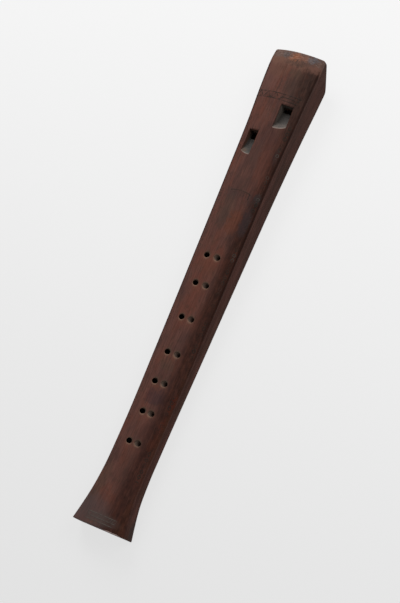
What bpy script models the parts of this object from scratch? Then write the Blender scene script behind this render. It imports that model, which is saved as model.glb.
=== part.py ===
"""A wooden double flute: one body with two bores side by side, and a block in the head of each bore.

The flute lies on its flat back. X runs across it, Y along it towards the head, and Z up through its front.
The origin is on the back, under the middle of the flute's length. "From the tip" is a distance along Y,
back from the end that goes in the mouth.
"""

import math
from typing import NamedTuple

import bmesh
import bpy
import numpy as np
from mathutils import Matrix, Vector


class Section(NamedTuple):
    """The body's cross-section at one place: straight sides under an arched front."""

    from_tip: float
    half_width: float
    side_height: float
    arch_rise: float
    shoulder: float


class Pipe(NamedTuple):
    """One bore with its window. Heights are above the back, and offsets are from the flute's middle."""

    name: str
    side: int
    offset_at_tip: float
    offset_at_foot: float
    height_at_tip: float
    height_at_foot: float
    radius_at_tip: float
    radius_at_foot: float
    window_from_tip: float
    window_width: float
    cut_up: float
    ramp_length: float


class HoleRow(NamedTuple):
    """A pair of finger holes that one finger covers, one over each bore."""

    from_tip: float
    left: float
    right: float


# The body's outer form
TOTAL_LENGTH = 0.393
NECK_FROM_FOOT = 0.070
FLARE_FROM_FOOT = 0.045
FLARE_BEND_FROM_FOOT = 0.025
FLARE_RIM_FROM_FOOT = 0.012
SECTIONS = (
    Section(0.0, 0.0223, 0.0253, 0.0041, 0.0010),
    Section(0.031, 0.0212, 0.0247, 0.0053, 0.0006),
    Section(0.061, 0.0199, 0.0233, 0.0053, 0.0006),
    Section(0.101, 0.0188, 0.0223, 0.0053, 0.0006),
    Section(0.171, 0.0180, 0.0191, 0.0053, 0.0007),
    Section(0.251, 0.0174, 0.0154, 0.0053, 0.0009),
    Section(TOTAL_LENGTH - NECK_FROM_FOOT, 0.0169, 0.0137, 0.0053, 0.0013),
    Section(TOTAL_LENGTH - FLARE_FROM_FOOT, 0.0171, 0.0144, 0.0053, 0.0018),
    Section(TOTAL_LENGTH - FLARE_BEND_FROM_FOOT, 0.0184, 0.0159, 0.0053, 0.0023),
    Section(TOTAL_LENGTH - FLARE_RIM_FROM_FOOT, 0.0207, 0.0161, 0.0053, 0.0026),
    Section(TOTAL_LENGTH, 0.0233, 0.0163, 0.0053, 0.0030),
)
BACK_EDGE_RADIUS = 0.0025
TIP_NARROWING = 0.0008
TIP_NARROWING_LENGTH = 0.015
TIP_DROP = 0.0014
TIP_DROP_LENGTH = 0.009
TIP_TAPER_POWER = 1.3
TIP_CORNER_RADIUS = 0.0019
TIP_EDGE_RADIUS = 0.0012

# The slanted cut under the mouth end
BEAK_LENGTH = 0.0186
TIP_EDGE_HEIGHT = 0.0200

# The bores, windows and windways
PIPES = (
    Pipe("long_pipe", 1, 0.00925, 0.00925, 0.0160, 0.0072, 0.0062, 0.0046,
         0.0441, 0.0098, 0.0044, 0.0160),
    Pipe("short_pipe", -1, 0.00925, 0.00925, 0.0160, 0.0072, 0.0057, 0.0043,
         0.0689, 0.0088, 0.0061, 0.0142),
)
RAMP_HOLLOW = 0.5
WINDWAY_HEIGHT = 0.0012
FLOOR_BELOW_BORE_TOP = 0.0007
LABIUM_THICKNESS = 0.0003
BLOCK_CLEARANCE = 0.0003

# The holes for the fingers, and the pair for the thumb in the back
HOLE_DIAMETER = 0.0042
HOLE_ROWS = (
    HoleRow(0.1736, -0.0045, 0.0043),
    HoleRow(0.1964, -0.0043, 0.0044),
    HoleRow(0.2243, -0.0041, 0.0038),
    HoleRow(0.2528, -0.0036, 0.0045),
    HoleRow(0.2766, -0.0039, 0.0040),
    HoleRow(0.3009, -0.0034, 0.0036),
    HoleRow(0.3250, -0.0037, 0.0034),
)
THUMB_ROW = HoleRow(0.1530, -0.0044, 0.0044)

# How finely round shapes are divided
BODY_STEPS = 40
TIP_STEPS = 9
ARCH_STEPS = 12
CORNER_STEPS = 4
BORE_SIDES = 32
HOLE_SIDES = 20
RAMP_STEPS = 8

# How far a cutter runs past the surface that it cuts
OVERCUT = 0.010
RAMP_OVERRUN = 1.6
MERGE_DISTANCE = 0.00001

BODY_COLOUR = (0.085, 0.037, 0.028)
BLOCK_COLOUR = (0.115, 0.062, 0.044)


def along(from_tip):
    """The Y of a place given by its distance from the tip."""
    return TOTAL_LENGTH / 2 - from_tip


def remove_everything():
    for obj in list(bpy.data.objects):
        bpy.data.objects.remove(obj, do_unlink=True)


def new_collection(name, hidden=False):
    collection = bpy.data.collections.new(name)
    bpy.context.scene.collection.children.link(collection)
    collection.hide_render = hidden
    return collection


def wood(name, colour, roughness):
    material = bpy.data.materials.new(name)
    material.use_nodes = True
    shader = material.node_tree.nodes["Principled BSDF"]
    shader.inputs["Base Color"].default_value = (*colour, 1.0)
    shader.inputs["Roughness"].default_value = roughness
    shader.inputs["Metallic"].default_value = 0.0
    return material


def new_object(name, shape, collection, matrix=None):
    """An object made from a bmesh, which is used up."""
    mesh = bpy.data.meshes.new(name)
    bmesh.ops.recalc_face_normals(shape, faces=shape.faces)
    shape.to_mesh(mesh)
    shape.free()
    obj = bpy.data.objects.new(name, mesh)
    obj.matrix_world = matrix or Matrix()
    collection.objects.link(obj)
    return obj


def shade_round(obj):
    obj.data.shade_smooth()
    obj.data.set_sharp_from_angle(angle=math.radians(35))


def tip_taper(from_tip, length):
    """How much of a taper at the tip applies: all of it at the tip, and none past its length."""
    return max(0.0, 1 - from_tip / length) ** TIP_TAPER_POWER


def tip_rounding(from_tip, radius):
    """How far a rounded corner at the tip falls short of a square one."""
    inside = max(0.0, radius - from_tip)
    return radius - math.sqrt(radius**2 - inside**2)


def section_at(from_tip):
    """The cross-section there, on smooth curves through the named ones, tapered and rounded at the tip."""
    places = np.array([section.from_tip for section in SECTIONS])
    sizes = np.array([section[1:] for section in SECTIONS])
    slopes = np.gradient(sizes, places, axis=0)
    last = int(np.clip(np.searchsorted(places, from_tip) - 1, 0, len(places) - 2))
    length = places[last + 1] - places[last]
    t = (from_tip - places[last]) / length
    start, end = sizes[last], sizes[last + 1]
    leaving, arriving = slopes[last] * length, slopes[last + 1] * length
    value = (
        (2 * t**3 - 3 * t**2 + 1) * start
        + (t**3 - 2 * t**2 + t) * leaving
        + (3 * t**2 - 2 * t**3) * end
        + (t**3 - t**2) * arriving
    )
    half_width, side_height, arch_rise, shoulder = value
    half_width -= TIP_NARROWING * tip_taper(from_tip, TIP_NARROWING_LENGTH)
    half_width -= tip_rounding(from_tip, TIP_CORNER_RADIUS)
    side_height -= TIP_DROP * tip_taper(from_tip, TIP_DROP_LENGTH)
    side_height -= tip_rounding(from_tip, TIP_EDGE_RADIUS)
    return Section(from_tip, half_width, side_height, arch_rise, shoulder)


def arch_circle(section):
    """Radius of the front's arc, and the height of its centre."""
    radius = (section.half_width**2 + section.arch_rise**2) / (2 * section.arch_rise)
    return radius, section.side_height + section.arch_rise - radius


def front_height(offset, from_tip):
    """How high the front surface is above the back."""
    radius, centre = arch_circle(section_at(from_tip))
    return centre + math.sqrt(radius**2 - offset**2)


def rounded(before, corner, after):
    """Points on a curve that cuts a corner, from one neighbour to the other."""
    points = []
    for step in range(CORNER_STEPS + 1):
        t = step / CORNER_STEPS
        points.append((1 - t) ** 2 * before + 2 * t * (1 - t) * corner + t**2 * after)
    return points


def half_outline(section):
    """Right half of a cross-section, from the crest of the front round to the middle of the back."""
    radius, centre = arch_circle(section)
    ridge_angle = math.asin(section.half_width / radius)
    arch_end = ridge_angle - section.shoulder / radius

    def on_arch(angle):
        return Vector((radius * math.sin(angle), centre + radius * math.cos(angle)))

    points = [on_arch(arch_end * step / ARCH_STEPS) for step in range(ARCH_STEPS)]
    ridge = Vector((section.half_width, section.side_height))
    points += rounded(on_arch(arch_end), ridge, ridge - Vector((0, section.shoulder)))
    edge = Vector((section.half_width, 0))
    side_end = edge + Vector((0, BACK_EDGE_RADIUS))
    points += rounded(side_end, edge, edge - Vector((BACK_EDGE_RADIUS, 0)))
    points.append(Vector((0, 0)))
    return points


def body_places():
    """Distances from the tip at which the body has a cross-section, closest together at the tip's edge."""
    tip_end = max(TIP_NARROWING_LENGTH, TIP_DROP_LENGTH)
    tip = tip_end * np.linspace(0, 1, TIP_STEPS, endpoint=False) ** 2
    rest = np.linspace(tip_end, TOTAL_LENGTH, BODY_STEPS)
    return [*tip, *rest]


def make_body(collection, material):
    """The whole outer form, as a half that is mirrored. Its hollows are cut afterwards."""
    shape = bmesh.new()
    rings = []
    for place in body_places():
        outline = half_outline(section_at(place))
        rings.append([shape.verts.new((x, along(place), z)) for x, z in outline])
    for ring, following in zip(rings, rings[1:]):
        for i in range(len(ring) - 1):
            shape.faces.new((ring[i], ring[i + 1], following[i + 1], following[i]))
    shape.faces.new(rings[0])
    shape.faces.new(reversed(rings[-1]))
    body = new_object("body", shape, collection)
    body.data.materials.append(material)
    mirror = body.modifiers.new("other_half", "MIRROR")
    mirror.merge_threshold = MERGE_DISTANCE
    shade_round(body)
    return body


def cut(obj, cutter):
    boolean = obj.modifiers.new(cutter.name, "BOOLEAN")
    boolean.operation = "DIFFERENCE"
    boolean.object = cutter


def as_cutter(obj):
    obj.hide_render = True
    obj.display_type = "WIRE"
    return obj


def cone_between(shape, start, end, start_radius, end_radius, sides):
    """Adds a closed cone frustum from one point to another."""
    run = end - start
    turn = run.to_track_quat("Z", "Y").to_matrix().to_4x4()
    bmesh.ops.create_cone(
        shape,
        cap_ends=True,
        segments=sides,
        radius1=start_radius,
        radius2=end_radius,
        depth=run.length,
        matrix=Matrix.Translation((start + end) / 2) @ turn,
    )


def box_shape(low, high):
    """A closed box between two corners."""
    low, high = Vector(low), Vector(high)
    shape = bmesh.new()
    size = Matrix.Diagonal((*(high - low), 1.0))
    bmesh.ops.create_cube(shape, size=1.0, matrix=Matrix.Translation((low + high) / 2) @ size)
    return shape


def extruded_outline(name, points, width, matrix, collection):
    """A solid whose outline lies in Y and Z of the matrix, with its width along X."""
    curve = bpy.data.curves.new(name, "CURVE")
    curve.dimensions = "2D"
    curve.fill_mode = "BOTH"
    curve.extrude = width / 2
    spline = curve.splines.new("POLY")
    spline.points.add(len(points) - 1)
    for point, (y, z) in zip(spline.points, points):
        point.co = (y, z, 0, 1)
    spline.use_cyclic_u = True
    drawn = bpy.data.objects.new(name + "_outline", curve)
    upright = Matrix(((0, 0, 1, 0), (1, 0, 0, 0), (0, 1, 0, 0), (0, 0, 0, 1)))
    drawn.matrix_world = matrix @ upright
    collection.objects.link(drawn)
    graph = bpy.context.evaluated_depsgraph_get()
    mesh = bpy.data.meshes.new_from_object(drawn.evaluated_get(graph))
    shape = bmesh.new()
    shape.from_mesh(mesh)
    bmesh.ops.remove_doubles(shape, verts=shape.verts, dist=MERGE_DISTANCE)
    placed = drawn.matrix_world.copy()
    bpy.data.objects.remove(drawn)
    bpy.data.meshes.remove(mesh)
    return new_object(name, shape, collection, placed)


def bore_centre(pipe, from_tip):
    """The middle of a bore at a distance from the tip."""
    share = from_tip / TOTAL_LENGTH
    offset = pipe.offset_at_tip + share * (pipe.offset_at_foot - pipe.offset_at_tip)
    height = pipe.height_at_tip + share * (pipe.height_at_foot - pipe.height_at_tip)
    return Vector((pipe.side * offset, along(from_tip), height))


def bore_radius(pipe, from_tip):
    share = from_tip / TOTAL_LENGTH
    return pipe.radius_at_tip + share * (pipe.radius_at_foot - pipe.radius_at_tip)


def pipe_frame(pipe):
    """Origin on the bore's axis at the tip, Y along the axis towards the head, Z up through the front."""
    origin = bore_centre(pipe, 0)
    headward = (origin - bore_centre(pipe, TOTAL_LENGTH)).normalized()
    across = headward.cross(Vector((0, 0, 1))).normalized()
    frame = Matrix((across, headward, across.cross(headward))).transposed().to_4x4()
    frame.translation = origin
    return frame


def windway_floor(pipe):
    """Height of the block's flat top above the bore's axis."""
    return bore_radius(pipe, pipe.window_from_tip) - FLOOR_BELOW_BORE_TOP


def bore_cutter(pipe, collection):
    shape = bmesh.new()
    cone_between(
        shape,
        bore_centre(pipe, -OVERCUT),
        bore_centre(pipe, TOTAL_LENGTH + OVERCUT),
        bore_radius(pipe, -OVERCUT),
        bore_radius(pipe, TOTAL_LENGTH + OVERCUT),
        BORE_SIDES,
    )
    return as_cutter(new_object(pipe.name + "_bore", shape, collection))


def windway_cutter(pipe, collection):
    """The flat channel in the bore's roof, from the tip to the window."""
    half_width = pipe.window_width / 2
    floor = windway_floor(pipe)
    shape = box_shape(
        (-half_width, -pipe.window_from_tip - pipe.cut_up / 2, floor),
        (half_width, OVERCUT, floor + WINDWAY_HEIGHT),
    )
    return as_cutter(new_object(pipe.name + "_windway", shape, collection, pipe_frame(pipe)))


def window_cutter(pipe, collection):
    """The opening down to the bore, and the hollow ramp from the labium's edge up to the front."""
    start = -pipe.window_from_tip
    labium = start - pipe.cut_up
    radius = bore_radius(pipe, -labium)
    bottom = math.sqrt(radius**2 - (pipe.window_width / 2) ** 2) - BLOCK_CLEARANCE
    edge_height = radius + LABIUM_THICKNESS
    ramp_from_tip = pipe.ramp_length - labium
    axis = bore_centre(pipe, ramp_from_tip)
    rise = front_height(axis.x, ramp_from_tip) - axis.z - edge_height
    ramp = []
    for step in range(RAMP_STEPS + 1):
        share = RAMP_OVERRUN * step / RAMP_STEPS
        height = (1 - RAMP_HOLLOW) * share + RAMP_HOLLOW * share**2
        ramp.append((labium - share * pipe.ramp_length, edge_height + rise * height))
    outline = [(start, bottom), (labium, bottom), *ramp, (start, ramp[-1][1])]
    name = pipe.name + "_window"
    return as_cutter(extruded_outline(name, outline, pipe.window_width, pipe_frame(pipe), collection))


def hole_cutters(row, from_back, name, collection):
    """Both holes of a row, each slanting outwards from the surface to the middle of its bore."""
    shape = bmesh.new()
    for pipe in PIPES:
        offset = row.right if pipe.side > 0 else row.left
        height = 0 if from_back else front_height(offset, row.from_tip)
        mouth = Vector((offset, along(row.from_tip), height))
        inside = bore_centre(pipe, row.from_tip)
        outside = mouth + (mouth - inside).normalized() * HOLE_DIAMETER
        cone_between(shape, inside, outside, HOLE_DIAMETER / 2, HOLE_DIAMETER / 2, HOLE_SIDES)
    return as_cutter(new_object(name, shape, collection))


def beak_cutter(collection):
    """The wedge that is cut away under the mouth end, its slanted face through the heel and the tip."""
    slope = TIP_EDGE_HEIGHT / BEAK_LENGTH
    outline = (
        (along(BEAK_LENGTH) - OVERCUT / slope, -OVERCUT),
        (along(0) + OVERCUT, -OVERCUT),
        (along(0) + OVERCUT, TIP_EDGE_HEIGHT + OVERCUT * slope),
    )
    width = 2 * SECTIONS[0].half_width + 2 * OVERCUT
    return as_cutter(extruded_outline("beak", outline, width, Matrix(), collection))


def tip_cutter(collection):
    """Everything past the tip, to trim the blocks level with the body's end."""
    reach = SECTIONS[0].half_width
    top = SECTIONS[0].side_height + SECTIONS[0].arch_rise
    shape = box_shape((-reach, along(0), -OVERCUT), (reach, along(-3 * OVERCUT), top))
    return as_cutter(new_object("past_tip", shape, collection))


def make_block(pipe, collection, cutters, material, trims):
    """The tapered plug that leaves only the windway open. Its origin is on the axis it slides along."""
    window = pipe.window_from_tip
    shape = bmesh.new()
    cone_between(
        shape,
        Vector((0, -window, 0)),
        Vector((0, OVERCUT, 0)),
        bore_radius(pipe, window) - BLOCK_CLEARANCE,
        bore_radius(pipe, -OVERCUT) - BLOCK_CLEARANCE,
        BORE_SIDES,
    )
    name = pipe.name + "_block"
    block = new_object(name, shape, collection, pipe_frame(pipe))
    block.data.materials.append(material)
    shade_round(block)
    reach = pipe.radius_at_tip + OVERCUT
    above = box_shape(
        (-reach, -window - OVERCUT, windway_floor(pipe)),
        (reach, 2 * OVERCUT, reach),
    )
    cut(block, as_cutter(new_object(name + "_flat", above, cutters, pipe_frame(pipe))))
    for trim in trims:
        cut(block, trim)
    return block


def main():
    remove_everything()
    flute = new_collection("double_flute")
    cutters = new_collection("cutters", hidden=True)
    root = bpy.data.objects.new("double_flute_origin", None)
    flute.objects.link(root)

    body = make_body(flute, wood("body_wood", BODY_COLOUR, 0.5))
    beak = beak_cutter(cutters)
    past_tip = tip_cutter(cutters)
    cut(body, beak)
    for pipe in PIPES:
        cut(body, bore_cutter(pipe, cutters))
        cut(body, windway_cutter(pipe, cutters))
        cut(body, window_cutter(pipe, cutters))
    for number, row in enumerate(HOLE_ROWS, start=1):
        cut(body, hole_cutters(row, False, f"finger_holes_{number}", cutters))
    cut(body, hole_cutters(THUMB_ROW, True, "thumb_holes", cutters))

    block_wood = wood("block_wood", BLOCK_COLOUR, 0.6)
    blocks = [make_block(pipe, flute, cutters, block_wood, (beak, past_tip)) for pipe in PIPES]
    for obj in (body, *blocks):
        obj.parent = root


main()
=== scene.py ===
"""Dresses the double flute: carved and worn wood, fitted blocks, a pale floor, soft light and the camera."""

import math

import bmesh
import bpy
import numpy as np
from mathutils import Matrix, Vector


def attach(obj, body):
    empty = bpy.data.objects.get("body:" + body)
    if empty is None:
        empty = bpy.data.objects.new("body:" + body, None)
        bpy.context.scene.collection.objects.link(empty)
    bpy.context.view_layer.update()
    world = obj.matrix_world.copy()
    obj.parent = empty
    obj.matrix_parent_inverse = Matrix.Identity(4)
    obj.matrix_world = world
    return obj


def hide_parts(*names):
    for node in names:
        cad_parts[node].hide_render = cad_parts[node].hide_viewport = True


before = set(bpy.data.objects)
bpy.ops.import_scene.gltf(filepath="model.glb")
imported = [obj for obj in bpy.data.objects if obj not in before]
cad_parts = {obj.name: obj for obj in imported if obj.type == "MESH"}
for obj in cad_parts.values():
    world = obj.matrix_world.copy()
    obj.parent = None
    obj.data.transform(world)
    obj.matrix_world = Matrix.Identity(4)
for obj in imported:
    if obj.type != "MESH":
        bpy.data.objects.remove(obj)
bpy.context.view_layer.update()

ACROSS, UP = Vector((1, 0, 0)), Vector((0, 0, 1))

# The outer form. Distance from the tip, half-width, height of the sides, rise of the arched front, shoulder
LENGTH = 0.393
SECTIONS = np.array((
    (0.000, 0.0223, 0.0253, 0.0041, 0.0010),
    (0.031, 0.0212, 0.0247, 0.0053, 0.0006),
    (0.061, 0.0199, 0.0233, 0.0053, 0.0006),
    (0.101, 0.0188, 0.0223, 0.0053, 0.0006),
    (0.171, 0.0180, 0.0191, 0.0053, 0.0007),
    (0.251, 0.0174, 0.0154, 0.0053, 0.0009),
    (LENGTH - 0.070, 0.0169, 0.0137, 0.0053, 0.0013),
    (LENGTH - 0.045, 0.0171, 0.0144, 0.0053, 0.0018),
    (LENGTH - 0.025, 0.0184, 0.0159, 0.0053, 0.0023),
    (LENGTH - 0.012, 0.0207, 0.0161, 0.0053, 0.0026),
    (LENGTH, 0.0233, 0.0163, 0.0053, 0.0030),
))
TIP_NARROWING, TIP_NARROWING_LENGTH = 0.0008, 0.015
TIP_DROP, TIP_DROP_LENGTH = 0.0014, 0.009
TIP_TAPER_POWER = 1.3
TIP_CORNER_RADIUS = 0.0019
TIP_EDGE_RADIUS = 0.0012
BEAK_LENGTH = 0.0186
TIP_EDGE_HEIGHT = 0.0200
BACK_EDGE_RADIUS = 0.0025
WORN_EDGE_RADIUS = 0.0006
END_RIM = 0.0020
HEEL_ROUNDING = 0.0007
SANDED_OFF = 0.00004

# The two pipes. Heights are above the back, and lengths run from the tip
BORE_OFFSET = 0.00925
BORE_HEIGHTS = (0.0160, 0.0072)
LONG_PIPE = dict(name="long_pipe", side=1, radii=(0.0062, 0.0046),
                 window=0.0441, width=0.0098, cut_up=0.0044, ramp=0.0150)
SHORT_PIPE = dict(name="short_pipe", side=-1, radii=(0.0057, 0.0043),
                  window=0.0689, width=0.0088, cut_up=0.0061, ramp=0.0142)
PIPES = (LONG_PIPE, SHORT_PIPE)
RAMP_HOLLOW = 0.5
RAMP_FOLLOWS_FRONT = 0.25
RAMP_SCOOP = 0.0004
WINDWAY_HEIGHT = 0.0012
FLOOR_BELOW_BORE_TOP = 0.0007
LABIUM_THICKNESS = 0.0003
BLOCK_CLEARANCE = 0.0003
RAMP_OVERRUN = 1.3
OVERCUT = 0.010

# Finger holes: distance from the tip, and the places of the left and the right hole
HOLE_RADIUS = 0.0021
HOLE_ROWS = (
    (0.1736, -0.0045, 0.0043),
    (0.1964, -0.0043, 0.0044),
    (0.2243, -0.0041, 0.0038),
    (0.2528, -0.0036, 0.0045),
    (0.2766, -0.0039, 0.0040),
    (0.3009, -0.0034, 0.0036),
    (0.3250, -0.0037, 0.0034),
)
THUMB_ROW = (0.1530, -0.0044, 0.0044)
RIM_RADIUS = 0.0006
SLOPE_STEP, FALL_STEP = 0.0005, 0.003

# The windows' broken edges
WINDOW_RIM = 0.0003
RIM_OVERLAP = 0.00002
RIM_STOPS_SHORT = 0.0024

# The blocks' eased edges
EASED_EDGE = 0.0002
MERGE_DISTANCE = 0.00002

# Incised ornament: bands across the front, a bow below the windows, and a chain along each shoulder
GROOVE_HALF_WIDTH = 0.00038
GROOVE_DEPTH = 0.0002
HEAD_BAND = (0.0366, 0.0391, 0.0416)
HEAD_BAND_TEETH, HEAD_BAND_REACH = 0.0030, (-0.0235, 0.0195)
FOOT_BAND = (0.3836, 0.3866, 0.3892)
FOOT_BAND_TEETH, FOOT_BAND_REACH = -0.0075, (-0.0125, 0.0155)
BAND_FADE = 0.0030
ZIGZAG_PITCH = 0.0075
ZIGZAG_SHIFT = 0.0008
HATCH_PITCH = 0.0010
HATCH_FAINTER, SLANT_FAINTER = 0.00012, 0.0001
SLANT = 0.6
CHAIN_START, CHAIN_END = 0.0452, 0.352
CHAIN_PITCH = 0.00925
CHAIN_INSET = 0.0030
CHAIN_ZONE = (0.0012, 0.0048)
RING_PLACE, RING_RADIUS = 0.0018, 0.0011
LEAF_START, LEAF_END, LEAF_HALF_WIDTH = 0.0042, 0.0078, 0.0012
CHAIN_PALE_SPOTS, CHAIN_PALE_REACH = (0.084, 0.102, 0.119, 0.137, 0.169, 0.1965), 0.0055
BOW_PLACE, BOW_MIDDLE, BOW_REACH, BOW_HEIGHT = 0.1186, 0.0014, 0.0085, 0.0058
BOW_CURVE = 14
TICK_PITCH, TICK_LENGTH = 0.0022, 0.0045

# The worn front edge of the foot, right of the crest
CHIP_MIDDLE, CHIP_REACH = 0.0135, 0.0075
CHIP_LENGTH, CHIP_DEPTH, CHIP_HEIGHT = 0.0010, 0.0007, 0.0015

# How finely the body is divided
ROW_STEP = 0.0011
ARCH_COLUMNS = 26
SHOULDER_COLUMNS = 5
SIDE_COLUMNS = 14
CORNER_COLUMNS = 4
BASE_COLUMNS = 7
RAMP_COLUMNS, RAMP_ROWS = 13, 24
RIM_COLUMNS, RIM_ROWS, RIM_STEPS = 10, 16, 4
BORE_SIDES, BLOCK_SIDES, HOLE_SIDES = 64, 72, 40
SHARP_ANGLE = math.radians(38)

# Where the painted shade on the front begins towards the right ridge: distance from the tip, and place across
PAINTED_SHADE_TURN = np.array((
    (0.000, 0.0110),
    (0.040, 0.0110),
    (0.065, 0.0135),
    (0.110, 0.0130),
    (0.150, 0.0100),
    (0.215, 0.0092),
    (0.260, 0.0080),
    (0.300, 0.0074),
    (0.340, 0.0057),
    (LENGTH, 0.0057),
))
PAINTED_SHADE_TURN_SPREAD = 0.0048

# How far wear, dark lines, painted shade and painted highlights reach from the edges and holes that they
# follow
SKIN = 0.0005
FRONT_DEPTH, FLANK_BLEND = 0.0008, 0.0028
RIDGE_LINE_INSET, RIDGE_LINE_WIDTH, RIDGE_LINE_DEPTH = 0.0004, 0.0011, 0.0015
RIDGE_LINE_END, RIDGE_LINE_FADE = 0.30, 0.12
HEEL_LINE_WIDTH, HEEL_LINE_END, HEEL_LINE_FADE = 0.0012, 1.2 * BEAK_LENGTH, 0.004
LEFT_EDGE_WIDTH, LEFT_EDGE_FADE = 0.0018, 0.0015
LEFT_EDGE_DEPTH, LEFT_EDGE_DEPTH_FADE = 0.006, 0.004
FOOT_GREY_MIDDLE, FOOT_GREY_WIDTH, FOOT_GREY_LENGTH = 0.0020, 0.0130, 0.0042
RUBBED_WIDTH = 0.0007
TOUCHED_RADIUS, TOUCHED_ASPECT, TOUCHED_BELOW = 0.0045, 1.6, 0.003


def along(from_tip):
    """The Y of a place given by its distance from the tip."""
    return LENGTH / 2 - from_tip


def rounding(distance, radius):
    """How far a rounded edge falls short of a square one, at a distance from the end."""
    inside = np.clip(radius - distance, 0, radius)
    return radius - np.sqrt(radius**2 - inside**2)


def sizes_at(from_tip):
    """Half-width, side height, arch rise and shoulder at each of some places."""
    places = SECTIONS[:, 0]
    slopes = np.gradient(SECTIONS[:, 1:], places, axis=0)
    last = np.clip(np.searchsorted(places, from_tip) - 1, 0, len(places) - 2)
    length = (places[last + 1] - places[last])[:, None]
    t = (from_tip - places[last])[:, None] / length
    sizes = (
        (2 * t**3 - 3 * t**2 + 1) * SECTIONS[last, 1:]
        + (t**3 - 2 * t**2 + t) * slopes[last] * length
        + (3 * t**2 - 2 * t**3) * SECTIONS[last + 1, 1:]
        + (t**3 - t**2) * slopes[last + 1] * length
    )
    half_width, side_height, arch_rise, shoulder = sizes.T
    narrowing = np.clip(1 - from_tip / TIP_NARROWING_LENGTH, 0, 1) ** TIP_TAPER_POWER
    drop = np.clip(1 - from_tip / TIP_DROP_LENGTH, 0, 1) ** TIP_TAPER_POWER
    foot_edge = rounding(LENGTH - from_tip, WORN_EDGE_RADIUS)
    half_width = half_width - TIP_NARROWING * narrowing - foot_edge
    half_width = half_width - rounding(from_tip, TIP_CORNER_RADIUS)
    side_height = side_height - TIP_DROP * drop - foot_edge
    side_height = side_height - rounding(from_tip, TIP_EDGE_RADIUS) - SANDED_OFF
    return half_width, side_height, arch_rise, shoulder


def smooth(value):
    """From 0 to 1, without a kink at either end."""
    value = np.clip(value, 0, 1)
    return value * value * (3 - 2 * value)


def bell(distance, width):
    """1 on a line, and less and less on both sides of it."""
    return np.exp(-((distance / width) ** 2))


def arch_at(from_tip):
    """The front's half-width, the radius of its arc, and the height of the arc's centre."""
    half_width, side_height, arch_rise, _ = sizes_at(from_tip)
    radius = (half_width**2 + arch_rise**2) / (2 * arch_rise)
    return half_width, radius, side_height + arch_rise - radius


def front_at(offset, from_tip):
    """Height of the front, and the place across it measured along its arc."""
    offset, from_tip = np.broadcast_arrays(np.atleast_1d(offset), np.atleast_1d(from_tip))
    half_width, radius, centre = arch_at(from_tip)
    inside = np.clip(offset, -half_width, half_width)
    return centre + np.sqrt(radius**2 - inside**2), radius * np.arcsin(inside / radius)


def front_height(offset, from_tip):
    """Height of the front at one place."""
    return float(front_at(offset, from_tip)[0][0])


def base_height(from_tip):
    """Height of the underside: the slanted cut of the beak, its rounded heel, and the flat back."""
    beak = TIP_EDGE_HEIGHT * (1 - from_tip / BEAK_LENGTH)
    height = (beak + np.sqrt(beak**2 + HEEL_ROUNDING**2)) / 2
    height = np.where(from_tip > 2 * BEAK_LENGTH, 0, height)
    worn = rounding(LENGTH - from_tip, WORN_EDGE_RADIUS) + rounding(from_tip, WORN_EDGE_RADIUS)
    return height + worn


def bezier(before, corner, after, t):
    """A curve from one point to another, drawn towards a corner."""
    return (1 - t) ** 2 * before + 2 * t * (1 - t) * corner + t**2 * after


def half_outlines(from_tip):
    """X and Z of the right half of the cross-sections, from the crest round to the middle of the base."""
    half_width, side_height, _, shoulder = (size[:, None] for size in sizes_at(from_tip))
    radius, centre = (size[:, None] for size in arch_at(from_tip)[1:])
    base = base_height(from_tip)[:, None]
    edge = np.clip(BACK_EDGE_RADIUS - base, WORN_EDGE_RADIUS, BACK_EDGE_RADIUS)
    arch_end = np.arcsin(half_width / radius) - shoulder / radius

    def steps(count, closed=False):
        return np.linspace(0, 1, count, endpoint=closed)[None, :]

    arch = arch_end * steps(ARCH_COLUMNS)
    turn = steps(SHOULDER_COLUMNS)
    end_x, end_z = radius * np.sin(arch_end), centre + radius * np.cos(arch_end)
    side = steps(SIDE_COLUMNS)
    side_top, side_foot = side_height - shoulder, base + edge
    corner = steps(CORNER_COLUMNS)
    back = steps(BASE_COLUMNS, closed=True)
    x = np.hstack((
        radius * np.sin(arch),
        bezier(end_x, half_width, half_width, turn),
        half_width + 0 * side,
        bezier(half_width, half_width, half_width - edge, corner),
        (half_width - edge) * (1 - back),
    ))
    z = np.hstack((
        centre + radius * np.cos(arch),
        bezier(end_z, side_height, side_top, turn),
        side_top + (side_foot - side_top) * side,
        bezier(side_foot, base, base, corner),
        base + 0 * back,
    ))
    return x, z


def body_places():
    """Distances from the tip at which the body has a row of points, closest together at its ends."""
    tip = TIP_CORNER_RADIUS * np.linspace(0, 1, 9, endpoint=False) ** 2
    foot = LENGTH - np.concatenate((
        np.linspace(CHIP_LENGTH, WORN_EDGE_RADIUS, 4, endpoint=False),
        WORN_EDGE_RADIUS * np.linspace(1, 0, 5) ** 2,
    ))
    count = round((foot[0] - TIP_CORNER_RADIUS) / ROW_STEP)
    return np.concatenate((tip, np.linspace(TIP_CORNER_RADIUS, foot[0], count, endpoint=False), foot))


def mesh_object(name, points, faces, material):
    mesh = bpy.data.meshes.new(name)
    mesh.from_pydata(points, [], faces)
    mesh.materials.append(material)
    mesh.shade_smooth()
    obj = bpy.data.objects.new(name, mesh)
    bpy.context.scene.collection.objects.link(obj)
    return obj


def quads(*corners):
    """Faces whose four corners come from four grids of point numbers."""
    return np.stack(corners, axis=-1).reshape(-1, 4).tolist()


def wrapped(here):
    """Faces between rows of point numbers, each row closed on itself."""
    beside = np.roll(here, -1, axis=1)
    return quads(here[:-1], beside[:-1], beside[1:], here[1:])


def tube(rows, columns):
    """Faces of a closed skin over rows of points, with flat ends."""
    here = np.arange(rows * columns).reshape(rows, columns)
    return [*wrapped(here), here[0, ::-1].tolist(), here[-1].tolist()]


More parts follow.
